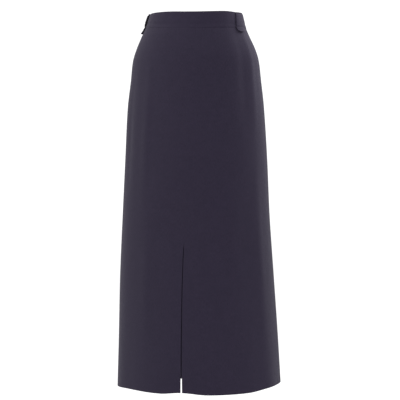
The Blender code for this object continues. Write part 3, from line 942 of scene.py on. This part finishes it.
def hem_stitches():
    """Catch stitches over the raw edge of the turned-up hem, seen from inside."""
    count = int(2 * math.pi * HEM_RADIUS / HEM_STITCH_STEP)
    turn = (np.arange(count) + 0.5) / count * 2 * math.pi - math.pi
    away = np.abs(turn)
    clear = away * HEM_RADIUS > FACING_LEFT + HEM_STITCH_CLEAR
    clear &= np.abs(away - math.pi / 2) * HEM_RADIUS > SEAM_ALLOWANCE + HEM_STITCH_CLEAR_OF_SEAM
    clear &= (math.pi - away) * HEM_RADIUS > CENTRE_ALLOWANCE + HEM_STITCH_CLEAR
    turn = turn[clear]
    edge = hem_height(turn) + HEM_DEPTH
    half = HEM_STITCH_HALF / HEM_RADIUS
    starts = on_cloth(turn - half, edge - HEM_STITCH_DOWN, THICK + PITCH)
    ends = on_cloth(turn + half, edge + HEM_STITCH_UP, THICK + THREAD_PROUD)
    return add_stitches("hem_stitches", [(starts, ends, -outward(turn, edge))])


# ---- the zip

HINGE = Vector((0.00149, 0.08819, 0.01285))
SLIDER_SLOPE = math.radians(11.1)
PULL_SLOPE = math.radians(8.1)
RING_OUT = 0.0018  # from the cloth's face out to the hinge, in the middle of the slider's ring
TAPE_DEPTH = 0.0027  # of the tape's middle, below the cloth's face
TAPE_WIDTH = 0.0110
TAPE_THICK = 0.0005
TAPE_TOP = 0.0182
TAPE_BOTTOM = -0.2045
TAPE_EDGE = 0.0003  # from the centre back, where the zip is closed
TAPE_OPENS = (0.0066, 0.0085)  # heights between which the tape's edge moves out to the slider's side
TAPE_CLEAR = 0.0002
TAPE_COLUMNS = 9
TAPE_ROWS = (
    # height of the first row and of the last, count: closer rows beside the slider
    (TAPE_TOP, 0.0080, 8),
    (0.0060, TAPE_BOTTOM, 70),
)
TAPE_OVER_SEAM = 0.0011  # how far the waist seam's allowances push the tapes in
TAPE_OVER_SEAM_AT = SEAM_AT_BACK + 0.003
TAPE_OVER_SEAM_REACH = 0.009
SLIDER_WIDTH = 0.0050
SLIDER_HEIGHT = 0.0074
SLIDER_DEPTH = 0.0026
COIL_INSET = 0.0012  # from the centre back to the middle of each coil
COIL_HALF_WIDTH = 0.00145
COIL_HALF_DEPTH = 0.0008
COIL_WIRE = 0.00035
COIL_PITCH = 0.0013
COIL_STEPS = 14
COIL_SIDES = 5
COIL_TOP = 0.0080
COIL_BOTTOM = -0.196


def at_centre_back(inset, height, depth, side):
    """A point beside the centre back: inset from it, and deep below the cloth's face."""
    return on_cloth(moved(side * math.pi, -side * inset, height), height, depth)


def tape_depth(height):
    return TAPE_DEPTH + TAPE_OVER_SEAM * bell(height - TAPE_OVER_SEAM_AT, TAPE_OVER_SEAM_REACH)


def make_tape(side, name):
    """Half of the zip's tape, whose inner edge opens round the slider."""
    heights = np.concatenate([np.linspace(*rows) for rows in TAPE_ROWS])
    shares = np.linspace(0.0, 1.0, TAPE_COLUMNS)
    height = np.broadcast_to(heights[:, None], (len(heights), len(shares)))
    inner = TAPE_EDGE + (SLIDER_WIDTH / 2 + TAPE_CLEAR) * smooth_step(*TAPE_OPENS, height)
    inset = inner + (TAPE_WIDTH - inner) * shares
    if side > 0:
        inset = inset[:, ::-1]
    grid = at_centre_back(inset, height, tape_depth(height), side)
    return add_sheet(name, grid, cells(numbered(grid)), grain(grid, 0), TAPE_THICK)


def make_coil(side, name):
    """The zip's coil on one tape, a tube whose turns lie half a pitch apart from its twin's."""
    turns = (COIL_TOP - COIL_BOTTOM) / COIL_PITCH
    count = int(turns * COIL_STEPS)
    angle = np.linspace(0.0, 2 * math.pi * turns, count)
    height = COIL_TOP - COIL_PITCH * angle / (2 * math.pi) - (COIL_PITCH / 2 if side > 0 else 0.0)
    inset = COIL_INSET + COIL_HALF_WIDTH * np.cos(angle)
    depth = tape_depth(height) + TAPE_THICK / 2 + COIL_WIRE + COIL_HALF_DEPTH * (1.0 + np.sin(angle))
    path = at_centre_back(inset, height, depth, side)
    tangent = np.gradient(path, axis=0)
    tangent /= np.linalg.norm(tangent, axis=1, keepdims=True)
    aside = np.cross(tangent, (0.31, 0.17, 0.93))  # a direction that the wire never takes
    aside /= np.linalg.norm(aside, axis=1, keepdims=True)
    other = np.cross(tangent, aside)
    spokes = np.linspace(0.0, 2 * math.pi, COIL_SIDES, endpoint=False)[:, None]
    rings = aside[:, None] * np.cos(spokes) + other[:, None] * np.sin(spokes)
    faces = ring_faces(count, COIL_SIDES)
    faces.append(tuple(reversed(range(COIL_SIDES))))
    faces.append(tuple((count - 1) * COIL_SIDES + k for k in range(COIL_SIDES)))
    return add_mesh(name, (path[:, None] + rings * COIL_WIRE).reshape(-1, 3), faces)


DRAWING_SCALE = 1000.0  # plates are drawn in millimetres, where curves fill cleanly
MOST_ROUNDED = 0.45  # of a side, at each of its corners
CORNER_POINTS = 5
SHARP_FROM = math.radians(50.0)  # edges that turn more than this stay sharp


def plate(outlines, thickness, bevel):
    """A flat plate from closed outlines, the first outside and the others holes, with soft edges."""
    curve = bpy.data.curves.new("outline", "CURVE")
    curve.dimensions = "2D"
    curve.fill_mode = "BOTH"
    curve.extrude = (thickness / 2 - bevel) * DRAWING_SCALE
    curve.bevel_depth = bevel * DRAWING_SCALE
    curve.bevel_resolution = 3
    curve.offset = -bevel * DRAWING_SCALE
    for outline in outlines:
        spline = curve.splines.new("POLY")
        spline.points.add(len(outline) - 1)
        for point, (x, y) in zip(spline.points, outline):
            point.co = (x * DRAWING_SCALE, y * DRAWING_SCALE, 0.0, 1.0)
        spline.use_cyclic_u = True
    source = add_object("outline", curve)
    bpy.context.view_layer.update()
    graph = bpy.context.evaluated_depsgraph_get()
    mesh = bpy.data.meshes.new_from_object(source.evaluated_get(graph))
    bpy.data.objects.remove(source, do_unlink=True)
    for vertex in mesh.vertices:
        vertex.co = vertex.co / DRAWING_SCALE
    return mesh


def rounded_outline(corners, radius):
    """A closed outline through corners, each cut back by a radius and rounded."""
    outline = []
    for k, corner in enumerate(corners):
        corner = Vector(corner)
        before = Vector(corners[k - 1]) - corner
        after = Vector(corners[(k + 1) % len(corners)]) - corner
        start = corner + before.normalized() * min(radius, before.length * MOST_ROUNDED)
        end = corner + after.normalized() * min(radius, after.length * MOST_ROUNDED)
        for t in np.linspace(0.0, 1.0, CORNER_POINTS):
            outline.append(tuple(start.lerp(corner, t).lerp(corner.lerp(end, t), t)))
    return outline


def mirrored(half):
    """A closed outline from its right half, top to bottom."""
    return list(half) + [(-x, y) for x, y in reversed(half)]


def hung(name, meshes, slope):
    """One object of meshes drawn in x and y round the hinge, standing up the cloth's slope there."""
    across = Vector((-1.0, 0.0, 0.0))
    up = Vector((0.0, -math.sin(slope), math.cos(slope)))
    out = Vector((0.0, math.cos(slope), math.sin(slope)))
    shape = bmesh.new()
    for mesh in meshes:
        shape.from_mesh(mesh)
    for vertex in shape.verts:
        x, y, z = vertex.co
        vertex.co = HINGE + x * across + y * up + z * out
    shape.normal_update()
    bmesh.ops.recalc_face_normals(shape, faces=shape.faces)
    mesh = bpy.data.meshes.new(name)
    shape.to_mesh(mesh)
    shape.free()
    mesh.shade_smooth()
    mesh.set_sharp_from_angle(angle=SHARP_FROM)
    return add_object(name, mesh)


PULL_SIDE = (
    # half_width, height above the hinge
    (0.00250, 0.00045),
    (0.00250, -0.00450),
    (0.00155, -0.00700),
    (0.00170, -0.01400),
    (0.00163, -0.01680),
    (0.00094, -0.01800),
)
PULL_OUTLINES = (
    # right side of the outline, rounding: the tab, its window, the grip's rim and the hollow in it
    (PULL_SIDE, 0.0009),
    (((0.00085, -0.00045), (0.00085, -0.00255)), 0.0003),
    (((0.00113, -0.0078), (0.00123, -0.0168)), 0.0007),
    (((0.00085, -0.0082), (0.00095, -0.0164)), 0.0006),
)
PULL_THICK = 0.0009
GRIP_DEEP = 0.00022


def block(outlines, low_out, high_out, bevel):
    """A plate between two distances out from the hinge."""
    mesh = plate(outlines, high_out - low_out, bevel)
    for vertex in mesh.vertices:
        vertex.co.z += (low_out + high_out) / 2
    return mesh


def make_pull():
    """The pull tab: a small bevelled plate that hangs in the slider's ring by a bar over its window."""
    tab, window, rim, grip = (rounded_outline(mirrored(side), radius) for side, radius in PULL_OUTLINES)
    meshes = [plate([tab, window], PULL_THICK, 0.0002)]
    for face in (PULL_THICK / 2, -PULL_THICK / 2):
        meshes.append(block([rim, grip], face - GRIP_DEEP, face + GRIP_DEEP, 0.0001))
    return hung("pull_tab", meshes, PULL_SLOPE)


SLIDER_BEHIND = 0.0023  # from the cloth's face in to the slider's front plate
SLIDER_PLATE = 0.0007  # thickness of each plate
RAIL_WIDTH = 0.0006
RING_RADIUS = 0.00125
RING_WIRE = 0.0004
RING_BROADER = 1.2


def make_slider():
    """The slider: two plates with channels between them, a neck and a ring that holds the tab."""
    half_width, half_height = SLIDER_WIDTH / 2, SLIDER_HEIGHT / 2
    foot, shoulder = half_width * 0.74, half_height * 0.62
    face = -RING_OUT - SLIDER_BEHIND
    back = face - SLIDER_DEPTH
    shield = mirrored([(half_width * 0.6, half_height), (half_width, shoulder), (foot, -half_height)])
    wedge = mirrored([(0.0007, half_height * 0.85), (0.0004, 0.0)])
    neck = mirrored([(0.0005, 0.0015), (0.0005, -0.0015)])
    blocks = [
        # outline, rounding, low and high distance out from the hinge, bevel
        (shield, 0.0008, face - SLIDER_PLATE, face, 0.0002),
        (shield, 0.0008, back, back + SLIDER_PLATE, 0.0002),
        (wedge, 0.0003, back + 0.0005, face - 0.0005, 0.0001),
        (neck, 0.0004, face - 0.0003, -0.0011, 0.0001),
    ]
    for side in (-1, 1):
        rail = [
            (side * (half_width - RAIL_WIDTH), shoulder * 0.9),
            (side * half_width, shoulder * 0.9),
            (side * foot, -half_height * 0.92),
            (side * (foot - RAIL_WIDTH), -half_height * 0.92),
        ]
        rail = rail[::side]  # the same way round on both sides
        blocks.append((rail, 0.0002, face - 0.0011, face - 0.0004, 0.0001))
        blocks.append((rail, 0.0002, back + 0.0004, back + 0.0011, 0.0001))
    meshes = [
        block([rounded_outline(outline, rounding)], low_out, high_out, bevel)
        for outline, rounding, low_out, high_out, bevel in blocks
    ]
    bpy.ops.mesh.primitive_torus_add(
        major_segments=40, minor_segments=12, major_radius=RING_RADIUS, minor_radius=RING_WIRE
    )
    ring = bpy.context.object
    for vertex in ring.data.vertices:
        x, y, z = vertex.co
        vertex.co = (z * RING_BROADER, y, x)
    meshes.append(ring.data)
    bpy.data.objects.remove(ring, do_unlink=True)
    return hung("slider", meshes, SLIDER_SLOPE)


# ---- materials


class Nodes:
    """A material's nodes, made and linked in short calls."""

    def __init__(self, name):
        self.material = bpy.data.materials.new(name)
        self.material.use_nodes = True
        self.tree = self.material.node_tree
        self.shader = self.tree.nodes["Principled BSDF"]

    def add(self, kind, **settings):
        node = self.tree.nodes.new("ShaderNode" + kind)
        for key, value in settings.items():
            setattr(node, key, value)
        return node

    def feed(self, value, socket):
        if isinstance(value, bpy.types.NodeSocket):
            self.tree.links.new(value, socket)
        else:
            socket.default_value = value

    def set(self, **values):
        """Sets the shader's sockets: a name's underscores stand for spaces."""
        for key, value in values.items():
            self.feed(value, self.shader.inputs[key.replace("_", " ")])

    def math(self, operation, *values):
        node = self.add("Math", operation=operation)
        for value, socket in zip(values, node.inputs):
            self.feed(value, socket)
        return node.outputs[0]

    def wave(self, phase):
        return self.math("SINE", phase)

    def turns(self, distance, pitch):
        """Phase of a wave that repeats every pitch of a distance."""
        return self.math("MULTIPLY", distance, TURN / pitch)

    def total(self, base, *terms):
        """The base plus each (amount, field)."""
        for amount, field in terms:
            base = self.math("MULTIPLY_ADD", field, amount, base)
        return base

    def noise(self, place, scale, stretch=(1.0, 1.0, 1.0), detail=2.0):
        """A noise field about zero, from about -0.5 to 0.5."""
        mapping = self.add("Mapping")
        self.feed(place, mapping.inputs["Vector"])
        mapping.inputs["Scale"].default_value = stretch
        texture = self.add("TexNoise")
        self.feed(mapping.outputs["Vector"], texture.inputs["Vector"])
        texture.inputs["Scale"].default_value = scale
        texture.inputs["Detail"].default_value = detail
        return self.math("SUBTRACT", texture.outputs["Fac"], 0.5)

    def tint(self, share, shades, strength):
        """A colour between two shades, scaled by a strength."""
        mix = self.add("Mix", data_type="RGBA", clamp_factor=True)
        self.feed(share, mix.inputs["Factor"])
        for shade, socket in zip(shades, mix.inputs[6:8]):
            self.feed((*shade, 1.0), socket)
        scale = self.add("VectorMath", operation="SCALE")
        self.feed(mix.outputs[2], scale.inputs[0])
        self.feed(strength, scale.inputs["Scale"])
        self.set(Base_Color=scale.outputs["Vector"])

    def relief(self, height, distance):
        bump = self.add("Bump")
        self.feed(height, bump.inputs["Height"])
        bump.inputs["Distance"].default_value = distance
        self.set(Normal=bump.outputs["Normal"])

    def grain(self):
        """The piece's own coordinates in metres: across the cloth and along it."""
        place = self.add("UVMap", uv_map="grain").outputs["UV"]
        parts = self.add("SeparateXYZ")
        self.feed(place, parts.inputs[0])
        return place, parts.outputs["X"], parts.outputs["Y"]

    def solid_place(self):
        return self.add("TexCoord").outputs["Object"]


TURN = 2 * math.pi
WALE_PITCH = 0.00095  # across the cloth, from one twill line to the next
WALE_RISE = 1.9  # how steeply the twill lines climb
FLOAT_LENGTH = 0.0011
RIB_PITCH = 0.0007  # of the tape's upright ribs
ROW_PITCH = 0.0006
EDGE_POINTINESS = 0.53  # where wear starts: a flat face has 0.5

WORSTED_SHADES = ((0.0176, 0.0141, 0.0276), (0.0208, 0.0164, 0.0309))
TAPE_SHADES = ((0.019, 0.016, 0.029), (0.024, 0.020, 0.033))
THREAD_SHADES = ((0.026, 0.020, 0.040), (0.040, 0.032, 0.058))
COIL_SHADES = ((0.022, 0.018, 0.032), (0.030, 0.026, 0.042))
METAL_SHADES = ((0.040, 0.035, 0.054), (0.17, 0.16, 0.19))
FLOOR_SHADES = ((0.92, 0.92, 0.92), (0.92, 0.92, 0.92))


def worsted_material():
    """Dark aubergine-navy gabardine: a steep fine twill, fine fibres, a soft sheen."""
    m = Nodes("worsted")
    place, across, along = m.grain()
    solid = m.solid_place()
    waver = m.noise(place, 180.0)
    slant = m.turns(across, WALE_PITCH)
    slant = m.total(slant, (-TURN / WALE_PITCH / WALE_RISE, along), (2.4, waver))
    wales = m.wave(slant)
    floats = m.wave(m.total(m.turns(along, FLOAT_LENGTH), (0.5, slant), (3.0, waver)))
    fibres = m.noise(place, 900.0, (1.0, 0.16, 1.0), 3.0)
    slubs = m.noise(place, 420.0, (1.6, 0.045, 1.0))
    mottle = m.noise(solid, 55.0, detail=3.0)
    cloud = m.noise(solid, 7.0)
    yarn = m.total(1.0, (0.15, wales), (0.06, floats), (0.55, fibres), (0.20, slubs))
    strength = m.total(yarn, (0.09, mottle), (0.08, cloud))
    m.tint(m.total(0.5, (1.6, fibres), (0.8, mottle)), WORSTED_SHADES, strength)
    m.set(Roughness=m.total(0.80, (-0.05, wales), (0.10, fibres), (0.06, cloud)))
    m.set(Specular_IOR_Level=0.04, Sheen_Weight=0.088, Sheen_Roughness=0.58)
    m.set(Sheen_Tint=(0.80, 0.78, 0.86, 1.0))
    m.relief(m.total(0.0, (0.5, wales), (0.22, floats), (0.9, fibres)), 0.00006)
    return m.material


def tape_material():
    """Woven zip tape: fine upright ribs crossed by close rows."""
    m = Nodes("zip_tape")
    place, across, along = m.grain()
    ribs = m.wave(m.turns(across, RIB_PITCH))
    rows = m.wave(m.total(m.turns(along, ROW_PITCH), (1.5, ribs)))
    fibres = m.noise(place, 1200.0, (1.0, 0.3, 1.0), 3.0)
    strength = m.total(1.0, (0.12, ribs), (0.08, rows), (0.5, fibres))
    m.tint(m.total(0.5, (1.5, fibres)), TAPE_SHADES, strength)
    m.set(Roughness=m.total(0.75, (0.1, fibres)), Specular_IOR_Level=0.25)
    m.relief(m.total(0.0, (0.5, ribs), (0.4, rows), (0.6, fibres)), 0.00008)
    return m.material


def thread_material(name, shades, roughness):
    """Spun thread, or the drawn wire of the coil: fine lengthwise streaks."""
    m = Nodes(name)
    place = m.solid_place()
    ply = m.noise(place, 2600.0, (1.0, 1.0, 0.5))
    worn = m.noise(place, 300.0)
    m.tint(m.total(0.5, (1.6, ply)), shades, m.total(1.0, (0.5, ply), (0.3, worn)))
    m.set(Roughness=m.total(roughness, (0.2, ply)), Specular_IOR_Level=0.35)
    m.relief(ply, 0.00005)
    return m.material


def metal_material():
    """Painted zip metal in the cloth's colour: fine orange peel, rubbed a little paler at its edges."""
    m = Nodes("zip_metal")
    place = m.solid_place()
    peel = m.noise(place, 2400.0)
    rubbed = m.noise(place, 700.0, detail=4.0)
    edge = m.math("SUBTRACT", m.add("NewGeometry").outputs["Pointiness"], EDGE_POINTINESS)
    wear = m.total(0.0, (9.0, edge), (0.8, rubbed))
    m.tint(wear, METAL_SHADES, m.total(1.0, (0.3, rubbed)))
    m.set(Metallic=0.6, Roughness=m.total(0.34, (0.25, rubbed), (0.1, peel)))
    m.relief(peel, 0.00003)
    return m.material


def floor_material():
    m = Nodes("floor_paint")
    speck = m.noise(m.solid_place(), 90.0)
    m.tint(0.5, FLOOR_SHADES, m.total(1.0, (0.01, speck)))
    m.set(Roughness=0.9)
    return m.material


# ---- stage, light and camera

AIM = Vector((0.0112, 0.0032, -0.456))
CAMERA_TURN = math.radians(16.0)
CAMERA_DISTANCE = 4.37
LENS = 153.54
FLOOR = -1.075
FLOOR_SIZE = 60.0
SURROUND = 1.165

LIGHTS = (
    # name, place, target, size, power in watts
    ("right_light", (0.64, 0.36, 0.30), (0.10, 0.0, -0.05), 0.4, 6.8),
    ("left_light", (-1.10, -0.45, 0.90), (0.0, 0.0, -0.20), 0.8, 7.0),
    ("top_light", (0.0, -0.60, 2.30), (0.0, 0.0, 0.0), 2.2, 14.0),
)


def make_stage():
    scene = bpy.context.scene
    scene.view_settings.view_transform = "Standard"
    world = bpy.data.worlds.new("studio")
    world.use_nodes = True
    background = world.node_tree.nodes["Background"]
    background.inputs["Color"].default_value = (1.0, 1.0, 1.0, 1.0)
    background.inputs["Strength"].default_value = SURROUND
    scene.world = world
    bpy.ops.mesh.primitive_plane_add(size=FLOOR_SIZE, location=(0.0, 0.0, FLOOR))
    floor = bpy.context.object
    floor.name = "floor"
    floor.data.materials.append(floor_material())


def add_aimed(name, data, place, ahead):
    """A light or the camera, at a place and looking ahead."""
    piece = add_object(name, data)
    piece.location = place
    piece.rotation_mode = "QUATERNION"
    piece.rotation_quaternion = ahead.to_track_quat("-Z", "Y")
    return piece


def make_lights():
    for name, place, target, size, power in LIGHTS:
        data = bpy.data.lights.new(name, "AREA")
        data.size = size
        data.energy = power
        add_aimed(name, data, place, Vector(target) - Vector(place))


def make_camera():
    data = bpy.data.cameras.new("camera")
    data.lens = LENS
    back = Vector((math.sin(CAMERA_TURN), -math.cos(CAMERA_TURN), 0.0))
    bpy.context.scene.camera = add_aimed("camera", data, AIM + back * CAMERA_DISTANCE, -back)


# ---- putting it together


def dress(piece, material, body, slot, *nodes):
    piece.data.materials.append(material)
    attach(piece, body)
    if nodes:
        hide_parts(*nodes)


def make_cloth(worsted):
    pieces = [(make_front(), "skirt_front"), (make_front_band("band_cloth_front"), "waistband_front")]
    for side, name in SIDES:
        pieces.append((make_back(side, f"back_cloth_{name}"), f"skirt_back_{name}"))
        pieces.append((make_back_band(side, f"band_cloth_back_{name}"), f"waistband_back_{name}"))
    pieces += [(make_loop(side, *shape), f"belt_loop_{side}") for side, *shape in LOOPS]
    for piece, node in pieces:
        dress(piece, worsted, SKIRT, "worsted", node)


def make_zip(tape, coil, metal):
    for side, name in SIDES:
        dress(make_tape(side, f"tape_cloth_{name}"), tape, SKIRT, "zip_tape", f"zip_tape_{name}")
        dress(make_coil(side, f"zip_coil_{name}"), coil, SKIRT, "zip_tape")
    dress(make_slider(), metal, SKIRT, "zip_metal", "zip_slider")
    dress(make_pull(), metal, PULL, "zip_metal", "zip_pull")


def main():
    make_stage()
    make_lights()
    make_camera()
    make_cloth(worsted_material())
    thread = thread_material("thread", THREAD_SHADES, 0.55)
    coil = thread_material("zip_coil", COIL_SHADES, 0.40)
    make_zip(tape_material(), coil, metal_material())
    for stitches in (loop_tacks(), tape_stitches(), hem_stitches()):
        dress(stitches, thread, SKIRT, "worsted")


main()
